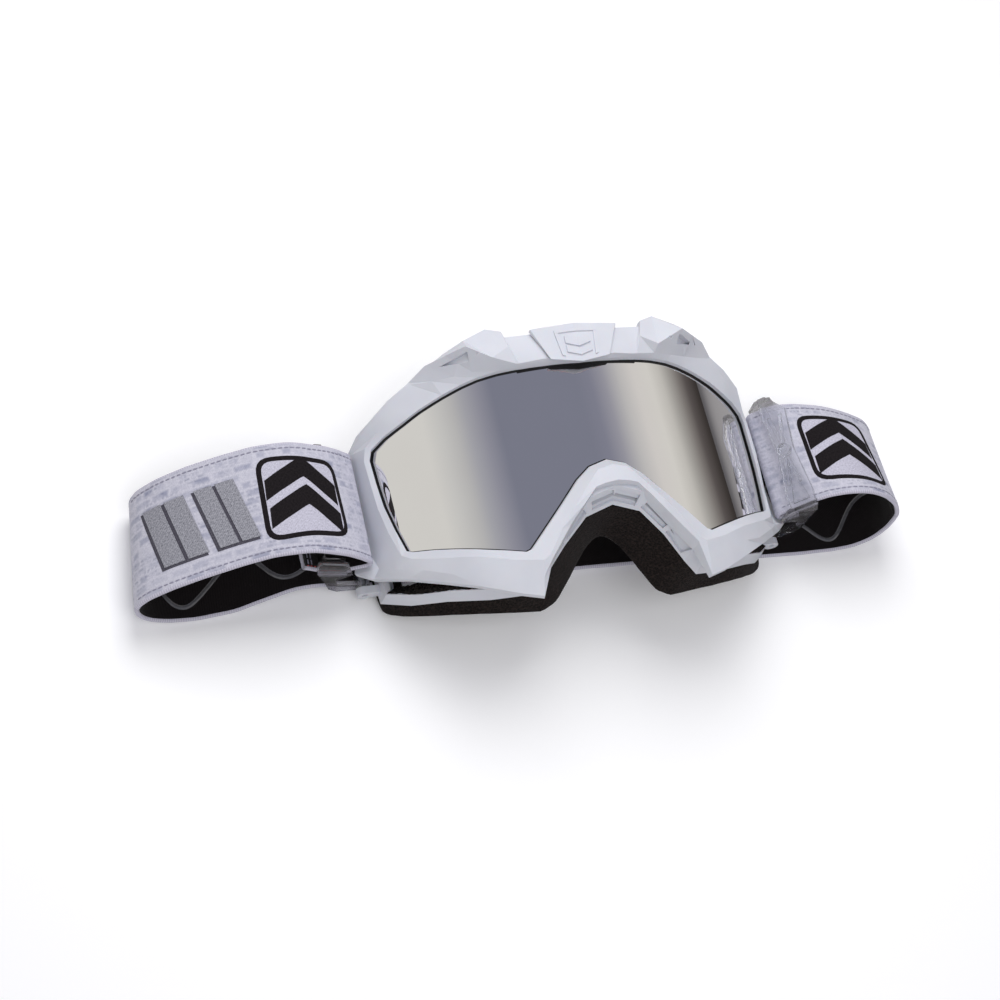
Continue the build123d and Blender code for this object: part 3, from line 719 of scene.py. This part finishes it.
RIGHT_TAIL = [(87.4, -15.9, 20.3, 0, 0), (90.6, -16.0, 23.4, 0, 0)]
# Knots before a STRAP list starts, then knots in it where the loop ends and the back stretch starts.
HEAD = {
    "left": len(LEFT_TAIL) + len(FOLD) + len(LEFT_FRONT),
    "right": len(RIGHT_TAIL) + len(FOLD) + len(RIGHT_FRONT),
}
SPLIT = {"left": 7, "right": 5}
# Grip beads: an x on the front run, the x past it where they start, and the knot where they end.
BEADS = {"left": (-95, -112, 16), "right": (97, 110, 11)}


class Band:
    """A strap half as a smooth path: distance along it, then place, across and outward."""

    def __init__(self, knots, side):
        self.side = side
        self.quiet = math.inf
        self.samples = []
        knots = [tuple(float(v) for v in k) for k in knots]
        length = 0.0
        self.knot_at = []
        for i in range(len(knots) - 1):
            a, b = knots[max(i - 1, 0)], knots[i]
            c, d = knots[i + 1], knots[min(i + 2, len(knots) - 1)]
            pairs = ((a, b), (b, c), (c, d))
            gaps = [max(math.sqrt(math.dist(p[:3], q[:3])), 1e-3) for p, q in pairs]
            self.knot_at.append(length)
            steps = max(2, int(gaps[1] ** 2 / 0.4))
            for n in range(steps + (i == len(knots) - 2)):
                t = n / steps
                point = []
                for k in range(5):
                    near = ((c[k] - a[k]) / (gaps[0] + gaps[1]) - (b[k] - a[k]) / gaps[0]
                            + (c[k] - b[k]) / gaps[1])
                    far = ((c[k] - b[k]) / gaps[1] - (d[k] - b[k]) / (gaps[1] + gaps[2])
                           + (d[k] - c[k]) / gaps[2])
                    m1, m2 = near * gaps[1], far * gaps[1]
                    point.append(b[k] + m1 * t + (3 * (c[k] - b[k]) - 2 * m1 - m2) * t * t
                                 + (2 * (b[k] - c[k]) + m1 + m2) * t * t * t)
                if self.samples:
                    length += math.dist(point[:3], self.samples[-1][1][:3])
                self.samples.append((length, point))
        self.knot_at.append(length)
        self.length = length
        self.soften()

    def soften(self):
        """Rounds the path between its knots, less near the tight fold and where the sliders run."""
        raw = self.samples
        made = []
        for n, (u, p) in enumerate(raw):
            reach = min(5.0, max(0.0, u - FOLD_END) * 0.25, (self.length - u) * 0.5)
            if abs(p[0]) < SLIDER_ZONE and p[2] < 20:
                reach = min(reach, 1.0)
            total, mean = 0.0, [0.0] * 5
            for m in range(max(0, n - 40), min(len(raw), n + 41)):
                gap = abs(raw[m][0] - u)
                if gap <= reach + 1e-6:
                    share = 1.0 - 0.9 * gap / (reach + 1e-6)
                    total += share
                    mean = [a + share * b for a, b in zip(mean, raw[m][1])]
            made.append((u, [v / total for v in mean]))
        self.samples = made

    def apex(self, side):
        """Where the loop ends and the back stretch starts."""
        return self.knot_at[HEAD[side] + SPLIT[side]]

    def raw(self, u):
        u = max(0.0, min(self.length, u))
        low, high = 0, len(self.samples) - 1
        while high - low > 1:
            mid = (low + high) // 2
            if self.samples[mid][0] <= u:
                low = mid
            else:
                high = mid
        a, b = self.samples[low], self.samples[high]
        t = (u - a[0]) / max(b[0] - a[0], 1e-9)
        return [x + (y - x) * t for x, y in zip(a[1], b[1])]

    def frame_at(self, u):
        x, y, z, shift, drop = self.raw(u)
        before, after = self.raw(u - 0.6), self.raw(u + 0.6)
        run = Vector((after[0] - before[0], 0, after[2] - before[2])).normalized()
        across = Vector((shift, math.sqrt(STRAP_W ** 2 - shift ** 2 - drop ** 2), -drop)).normalized()
        out = run.cross(across).normalized() * self.side
        return Vector((x, y, z)), across, out

    def at(self, u, v, lift):
        """A point v mm up from the lower edge and lift mm out from the band's middle."""
        place, across, out = self.frame_at(u)
        calm = 0.06 + 0.19 * max(0.0, min(1.0, (self.quiet - u) / CALMING))
        wave = calm * noise.noise(Vector((u * 0.05, self.side * 9.0, v * 0.04)))
        spot = place + across * v + out * (lift + wave)
        spot.z = max(spot.z, CLEARANCE)
        return spot * MM

    def u_at_x(self, x, after=0.0):
        """Distance along the band where it first crosses this x."""
        last = None
        for u, p in self.samples:
            if u >= after and last is not None and (last - x) * (p[0] - x) <= 0:
                return u
            last = p[0]
        raise ValueError(x)


def band_object(name, path, start, end):
    """The woven band itself: printed face out, dark face in, bound edges with a stitched groove."""
    half = FACE
    ring = []
    hem = [1.0, 1.9, 2.5, 3.1, 4.5]
    flat = hem + [4.5 + 36 * k / 12 for k in range(1, 12)] + [40.5, 41.9, 42.5, 43.1, 44.0]
    rise = {2.5: -0.16, 42.5: -0.16, 1.9: 0.05, 43.1: 0.05}
    for v in flat:
        ring.append((v, half + rise.get(v, 0.0), 0))
    for k in range(1, 6):
        turn = math.pi * k / 6
        ring.append((44.1 + 0.9 * math.sin(turn), half * math.cos(turn), 2))
    for v in reversed(flat):
        ring.append((v, -half - rise.get(v, 0.0), 1))
    for k in range(1, 6):
        turn = math.pi * k / 6
        ring.append((0.9 - 0.9 * math.sin(turn), -half * math.cos(turn), 2))
    size = len(ring)
    count = max(2, int((end - start) / BAND_STEP))
    stations = [start + (end - start) * n / count for n in range(count + 1)]
    points, faces, kinds, marks = [], [], [], []
    for u in stations:
        for v, lift, kind in ring:
            points.append(path.at(u, v, lift))
            marks.append((u * MM, v * MM))
    for i in range(count):
        for j in range(size):
            k = (j + 1) % size
            quad = (i * size + j, i * size + k, (i + 1) * size + k, (i + 1) * size + j)
            faces.append(quad if path.side < 0 else quad[::-1])
            kinds.append(ring[j][2] if ring[j][2] == ring[k][2] else 2)
    for i, way in ((0, -1), (count, 1)):
        cap = tuple(i * size + j for j in range(size))
        faces.append(cap if way * path.side > 0 else cap[::-1])
        kinds.append(2)
    mesh = bpy.data.meshes.new(name)
    mesh.from_pydata([tuple(p) for p in points], [], faces)
    for material in (WEB_OUT, WEB_IN, WEB_EDGE):
        mesh.materials.append(material)
    uv = mesh.uv_layers.new(name="strap")
    for polygon, kind in zip(mesh.polygons, kinds):
        polygon.material_index = kind
        polygon.use_smooth = True
        for loop in polygon.loop_indices:
            uv.data[loop].uv = marks[mesh.loops[loop].vertex_index]
    return add_object(name, mesh)


def patch(bm, uv, path, outline, low, high, kind):
    """A thin closed layer on the band over this outline, in mm along and across it."""
    made = bmesh.new()
    area = sum(a[0] * b[1] - b[0] * a[1] for a, b in zip(outline, outline[1:] + outline[:1]))
    if area < 0:
        outline = outline[::-1]
    prism(made, outline, low, high)
    left, right = min(p[0] for p in outline), max(p[0] for p in outline)
    bottom, top = min(p[1] for p in outline), max(p[1] for p in outline)
    made.normal_update()
    fill_ends(made)
    steps = int((right - left) / BAND_STEP)
    cuts = [((left + BAND_STEP * n, 0, 0), (1, 0, 0)) for n in range(1, steps + 1)]
    cuts += [((0, bottom + 6 * n, 0), (0, 1, 0)) for n in range(1, int((top - bottom) / 6) + 1)]
    for spot, normal in cuts:
        slice_at(made, spot, normal)
    known = {}
    for v in made.verts:
        known[v] = (bm.verts.new(path.at(v.co.x, v.co.y, v.co.z)), (v.co.x * MM, v.co.y * MM))
    for f in made.faces:
        corners = [known[v] for v in f.verts]
        if path.side < 0:
            corners = corners[::-1]
        face = bm.faces.new([c[0] for c in corners])
        face.material_index = kind
        for loop, corner in zip(face.loops, corners):
            loop[uv].uv = corner[1]
    made.free()


def rounded(corners, radius):
    """A closed outline with its corners rounded."""
    steps = 5
    made = []
    for i, corner in enumerate(corners):
        here = Vector(corner)
        before, after = Vector(corners[i - 1]), Vector(corners[(i + 1) % len(corners)])
        a = here + (before - here).normalized() * radius
        b = here + (after - here).normalized() * radius
        for n in range(steps + 1):
            t = n / steps
            made.append(tuple(a * (1 - t) ** 2 + here * 2 * t * (1 - t) + b * t * t))
    return made


def skewed(u, v, width, height, slant):
    """A parallelogram about its centre."""
    return [(u - width / 2 - slant / 2, v - height / 2), (u + width / 2 - slant / 2, v - height / 2),
            (u + width / 2 + slant / 2, v + height / 2), (u - width / 2 + slant / 2, v + height / 2)]


SUNK = 0.3
PRINT_AND_SHADOW_INKS = [INK_PANEL, INK_BLACK, INK_GREY, PAINTED_SHADOW, THREAD_LIGHT, THREAD_RED]
PANEL, BLACK, GREY, PAINTED_SHADOW_SLOT, LIGHT, RED = range(6)


def badge(bm, uv, path, u, v, way):
    """Panel with a dark rim and two chevrons. way is the run of the band that counts as the left."""
    left, right, bottom, top = u - 16.5, u + 16.5, v - 17.0, v + 17.0
    rim = [(left, bottom + 2), (right, bottom), (right - 1, top), (left + 1, top - 1)]
    inner = [(left + 1.9, bottom + 3.8), (right - 1.9, bottom + 2.0), (right - 2.8, top - 1.9),
             (left + 2.8, top - 2.9)]
    patch(bm, uv, path, rounded(rim, 6.0), FACE - SUNK, FACE + 0.06, BLACK)
    patch(bm, uv, path, rounded(inner, 4.4), FACE - SUNK, FACE + 0.13, PANEL)
    for foot in (v - 13.0, v - 1.6):
        peak = foot + 9.6
        arrow = [(u - way * 13.5, foot - 1.0), (u - way * 1.0, peak), (u + way * 14.0, foot + 1.0),
                 (u + way * 13.4, foot + 9.2), (u - way * 1.4, peak + 8.2), (u - way * 13.8, foot + 7.2)]
        patch(bm, uv, path, arrow[::-1], FACE - SUNK, FACE + 0.2, BLACK)


def stitches(bm, uv, path, start, end, v, kind, length=1.7, gap=0.55, inside=False):
    """A row of thread dashes along the band."""
    u, lift = start, FACE - 0.1
    while u + length < end:
        near, far, low, high = u + 0.35, u + length - 0.35, v - 0.22, v + 0.22
        outline = [(u, v), (near, low), (far, low), (u + length, v), (far, high), (near, high)]
        if inside:
            patch(bm, uv, path, outline, -lift - 0.28, -lift, kind)
        else:
            patch(bm, uv, path, outline, lift, lift + 0.2, kind)
        u += length + gap


def print_object(name, path, fill):
    bm = bmesh.new()
    uv = bm.loops.layers.uv.new("strap")
    fill(bm, uv, path)
    bmesh.ops.recalc_face_normals(bm, faces=bm.faces)
    return mesh_from(bm, name, *PRINT_AND_SHADOW_INKS)


def grip_bead(name, path, marks, u_low, u_high):
    """A silicone bead that wanders along the band's inner face. marks gives v for u."""
    radius = 0.95
    count = int(u_high - u_low)
    points, faces, size = [], [], 8
    for n in range(count + 1):
        u = u_low + (u_high - u_low) * n / count
        v, slope = marks(u), (marks(u + 0.5) - marks(u - 0.5))
        taper = min(1.0, 0.35 + min(n, count - n) * 0.35)
        side = Vector((-slope, 1)).normalized()
        for k in range(size):
            turn = 2 * math.pi * k / size
            off = radius * taper * math.cos(turn)
            lift = -FACE - radius * 0.55 * taper * math.sin(turn)
            points.append(path.at(u + side.x * off, v + side.y * off, lift))
    for i in range(count):
        for j in range(size):
            k = (j + 1) % size
            faces.append((i * size + j, i * size + k, (i + 1) * size + k, (i + 1) * size + j))
    faces.append(tuple(range(size - 1, -1, -1)))
    faces.append(tuple(range(count * size, (count + 1) * size)))
    item = mesh_object(name, points, faces, SILICONE)
    face_out(item)
    return smooth(item)


def bind(item):
    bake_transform(item)


def left_print_and_shadow(bm, uv, path):
    c = path.u_at_x(-106.5, path.u_at_x(-95, PAST_FOLD))
    badge(bm, uv, path, c, 22.5, 1)
    for x, width in ((-134.5, 15.0), (-153.5, 17.0)):
        u = path.u_at_x(x, c)
        # A dark patch offset from each pair of grey bars: painted shadow under them.
        shade = skewed(u + 0.5, 20.7, width + 0.7, 25.6, 6.0)
        patch(bm, uv, path, shade, FACE - SUNK, FACE + 0.1, PAINTED_SHADOW_SLOT)
        for part in (-1, 1):
            bar = skewed(u - 0.3 + part * width * 0.27, 21.4, width * 0.46, 25.0, 6.0)
            patch(bm, uv, path, bar, FACE - SUNK, FACE + 0.34, GREY)
    end = path.apex("left")
    for v in (2.5, 42.5):
        stitches(bm, uv, path, 14.0, end - 1, v, LIGHT)


def right_print(bm, uv, path):
    c = path.u_at_x(112.0, path.u_at_x(100, PAST_FOLD))
    badge(bm, uv, path, c, 22.5, -1)
    end = path.apex("right")
    for v in (2.5, 42.5):
        stitches(bm, uv, path, 14.0, end - 1, v, LIGHT)


def left_tail(bm, uv, path):
    for v in (1.3, 43.7):
        stitches(bm, uv, path, 1.0, 16.0, v, RED, 1.2, 0.5)
        stitches(bm, uv, path, 1.0, 16.0, v, RED, 1.2, 0.5, inside=True)
    for u in (2.0, 3.6):
        for k in range(17):
            v = 2.0 + k * 2.5
            outline = [(u - 0.22, v), (u + 0.22, v), (u + 0.22, v + 1.8), (u - 0.22, v + 1.8)]
            patch(bm, uv, path, outline, -FACE - 0.2, -FACE + 0.1, LIGHT)


left_end = [mirror_x(k) for k in LEFT_TAIL[::-1] + FOLD[::-1] + LEFT_FRONT[::-1]]
right_end = RIGHT_TAIL[::-1] + FOLD[::-1] + RIGHT_FRONT[::-1]
PATHS = {"left": Band(left_end + STRAP_LEFT, -1), "right": Band(right_end + STRAP_RIGHT, 1)}
for side, path in PATHS.items():
    apex = path.apex(side)
    path.quiet = apex + CALMING
    loop = band_object(f"strap_loop_{side}", path, 0.0, apex)
    back = band_object(f"strap_back_{side}", path, apex, path.length)
    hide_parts(f"strap_end_{side}")
    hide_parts(f"strap_{side}")
    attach(back, "frame")
    bind(loop)
    ink = print_object(f"strap_print_{side}", path, left_print_and_shadow if side == "left" else right_print)
    bind(ink)
    turn_x, bead_x, bead_knot = BEADS[side]
    first = path.u_at_x(bead_x, path.u_at_x(turn_x, PAST_FOLD))
    last = path.knot_at[HEAD[side] + bead_knot]
    for k, centre in enumerate((13.0, 32.0)):
        wave = lambda u, c=centre, k=k: c + 7.6 * math.sin(u / 6.6 + 1.9 * k) + 0.8 * math.sin(u / 3.1)
        for part, low, high in (("front", first, apex), ("rear", apex, last)):
            bead = grip_bead(f"grip_{part}_{side}_{k + 1}", path, wave, low, high)
            if part == "front":
                bind(bead)
            else:
                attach(bead, "frame")
                if k == 0:
                    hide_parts(f"grip_bead_{side}")
tail = print_object("strap_tail_stitching", PATHS["left"], left_tail)
bind(tail)


# ------------------------------------------------------------------ brow badge
def plate_point(x, y, lift):
    """On the brow plate's face, which is creased along the middle."""
    s = min(1.0, abs(x) / 17.4)
    low_y, top_y = 36.2 + 2.4 * min(1, abs(x) / 11.8), 52.2 - 0.5 * s
    t = (y - low_y) / (top_y - low_y)
    z_low = 67.2 - 1.0 * abs(x) / 11.8
    z_top = 68.3 - 1.7 * abs(x) / 17.4
    return Vector((x, y, z_low + (z_top - z_low) * t + lift)) * MM


def emboss(bm, outline, low, high):
    """A raised shape on the brow plate, cut where the plate's face creases."""
    made = bmesh.new()
    prism(made, outline, low, high)
    made.normal_update()
    fill_ends(made)
    for x in (-6, -3, 0, 3, 6):
        slice_at(made, (x, 0, 0), (1, 0, 0))
    known = {v: bm.verts.new(plate_point(v.co.x, v.co.y, v.co.z)) for v in made.verts}
    for f in made.faces:
        bm.faces.new([known[v] for v in f.verts])
    made.free()


BADGE_SUNK = 0.4
bm = bmesh.new()
for y, high in ((41.0, 0.55), (44.6, 0.55)):
    chevron = [(-5.0, y + 2.4), (-5.0, y - 0.4), (0.0, y - 2.2), (5.0, y - 0.4), (5.0, y + 2.4),
               (0.0, y + 0.6)]
    emboss(bm, chevron, -BADGE_SUNK, high)
for side in (1, -1):
    emboss(bm, [(side * 7.0, 48.6), (side * 8.4, 48.6), (side * 7.2, 39.6), (side * 5.9, 39.0)],
           -BADGE_SUNK, 0.45)
emboss(bm, [(-8.4, 48.6), (-8.4, 49.8), (8.4, 49.8), (8.4, 48.6)], -BADGE_SUNK, 0.45)
bmesh.ops.recalc_face_normals(bm, faces=bm.faces)
brow = mesh_from(bm, "brow_badge", WHITE)
soft = brow.modifiers.new("edge", "BEVEL")
soft.width = 0.18 * MM
soft.segments = 2
soft.limit_method = "ANGLE"
soft.angle_limit = math.radians(30)
settle(brow)
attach(brow, "frame")


# ------------------------------------------------------------------ stage, light and camera
bpy.ops.mesh.primitive_plane_add(size=6)
floor = bpy.context.object
floor.name = "floor"
g = Graph("floor_white")
spot = g.place()
g.set(Base_Color=g.mix(g.noise(spot, 3), (0.9, 0.9, 0.9, 1), (0.91, 0.91, 0.91, 1)), Roughness=0.9,
      Specular_IOR_Level=0.0)
bright = g.add("ShaderNodeBsdfDiffuse")
bright.inputs[0].default_value = (1.05, 1.05, 1.05, 1)
direct = g.add("ShaderNodeMixShader")
path_kind = g.add("ShaderNodeLightPath")
# In reflections the floor shows dark grey instead of white: painted shade in what the lens reflects.
reflected_floor_shade = g.add("ShaderNodeBsdfDiffuse")
reflected_floor_shade.inputs[0].default_value = (0.30, 0.29, 0.29, 1)
either = g.add("ShaderNodeMixShader")
g.link(path_kind.outputs["Is Glossy Ray"], either.inputs[0])
g.link(path_kind.outputs["Is Camera Ray"], direct.inputs[0])
g.link(g.shader.outputs[0], direct.inputs[1])
g.link(bright.outputs[0], direct.inputs[2])
g.link(direct.outputs[0], either.inputs[1])
g.link(reflected_floor_shade.outputs[0], either.inputs[2])
g.link(either.outputs[0], g.out.inputs[0])
floor.data.materials.append(g.material)

world = bpy.data.worlds.new("studio")
bpy.context.scene.world = world
world.use_nodes = True
tree = world.node_tree
tree.nodes.clear()


def world_node(kind, **values):
    node = tree.nodes.new(kind)
    for key, value in values.items():
        setattr(node, key, value)
    return node


coords = world_node("ShaderNodeTexCoord")
parts = world_node("ShaderNodeSeparateXYZ")
turn = world_node("ShaderNodeMath", operation="ARCTAN2")
scale = world_node("ShaderNodeMath", operation="MULTIPLY_ADD")
scale.inputs[1].default_value = 1 / (2 * math.pi)
scale.inputs[2].default_value = 0.5
bands = world_node("ShaderNodeValToRGB")
tree.links.new(coords.outputs["Generated"], parts.inputs[0])
tree.links.new(parts.outputs[0], turn.inputs[0])
tree.links.new(parts.outputs[2], turn.inputs[1])
tree.links.new(turn.outputs[0], scale.inputs[0])
tree.links.new(scale.outputs[0], bands.inputs[0])
# The studio that reflections see: degrees from straight up round towards +X, then a display colour.
BANDS = [
    (-180, (150, 150, 152)), (-120, (190, 189, 188)), (-90, (208, 206, 202)), (-55, (208, 206, 202)),
    (-47, (196, 195, 193)), (-40, (182, 181, 181)), (-34, (162, 162, 169)), (-27, (142, 142, 154)),
    (-20, (121, 123, 138)), (20, (121, 123, 138)), (27, (127, 128, 143)), (34, (150, 149, 159)),
    (42, (186, 184, 184)), (50, (206, 202, 199)), (59, (209, 206, 201)), (66, (191, 188, 183)),
    (71, (161, 158, 154)), (77, (124, 119, 116)), (82, (87, 81, 80)), (89, (59, 54, 52)),
    (96, (45, 42, 44)), (120, (90, 88, 90)), (180, (150, 150, 152)),
]
stops = bands.color_ramp.elements
while len(stops) > 1:
    stops.remove(stops[-1])
for n, (angle, colour) in enumerate(BANDS):
    stop = stops[0] if n == 0 else stops.new(angle / 360 + 0.5)
    stop.position = angle / 360 + 0.5
    stop.color = srgb(*colour)
seen = world_node("ShaderNodeLightPath")
choose = world_node("ShaderNodeMix", data_type="RGBA")
choose.inputs[7].default_value = (1, 1, 1, 1)
sky = world_node("ShaderNodeBackground")
sky_out = world_node("ShaderNodeOutputWorld")
tree.links.new(seen.outputs["Is Camera Ray"], choose.inputs[0])
tree.links.new(bands.outputs[0], choose.inputs[6])
tree.links.new(choose.outputs[2], sky.inputs[0])
tree.links.new(sky.outputs[0], sky_out.inputs[0])


def soft_light(name, place, size, power):
    """A square lamp aimed at the goggles, which reflections don't show."""
    data = bpy.data.lights.new(name, "AREA")
    data.shape = "SQUARE"
    data.size = size
    data.energy = power
    lamp = add_object(name, data)
    lamp.location = place
    lamp.rotation_mode = "QUATERNION"
    lamp.rotation_quaternion = (-Vector(place)).to_track_quat("-Z", "Y")
    lamp.visible_glossy = False
    lamp.visible_camera = False


soft_light("key", (0.0, 0.30, 0.52), 0.42, 2.4)
soft_light("fill", (-0.05, -0.55, 0.85), 0.8, 3.6)

RIGHT = Vector((0.9434, -0.2243, 0.2444))
UP = Vector((0.0975, 0.8916, 0.4422))
FORWARD = Vector((0.3171, 0.3933, -0.8630))
camera_data = bpy.data.cameras.new("camera")
camera_data.lens = 72.0
camera_data.sensor_width = 36.0
camera_data.shift_y = -0.0335
camera_data.clip_start = 0.05
camera_data.clip_end = 20
camera = add_object("camera", camera_data)
camera.rotation_mode = "QUATERNION"
camera.rotation_quaternion = Matrix((RIGHT, UP, -FORWARD)).transposed().to_quaternion()
camera.location = Vector((-267.7, -283.0, 681.7)) * MM
scene = bpy.context.scene
scene.camera = camera
scene.view_settings.view_transform = "Standard"
scene.view_settings.look = "None"
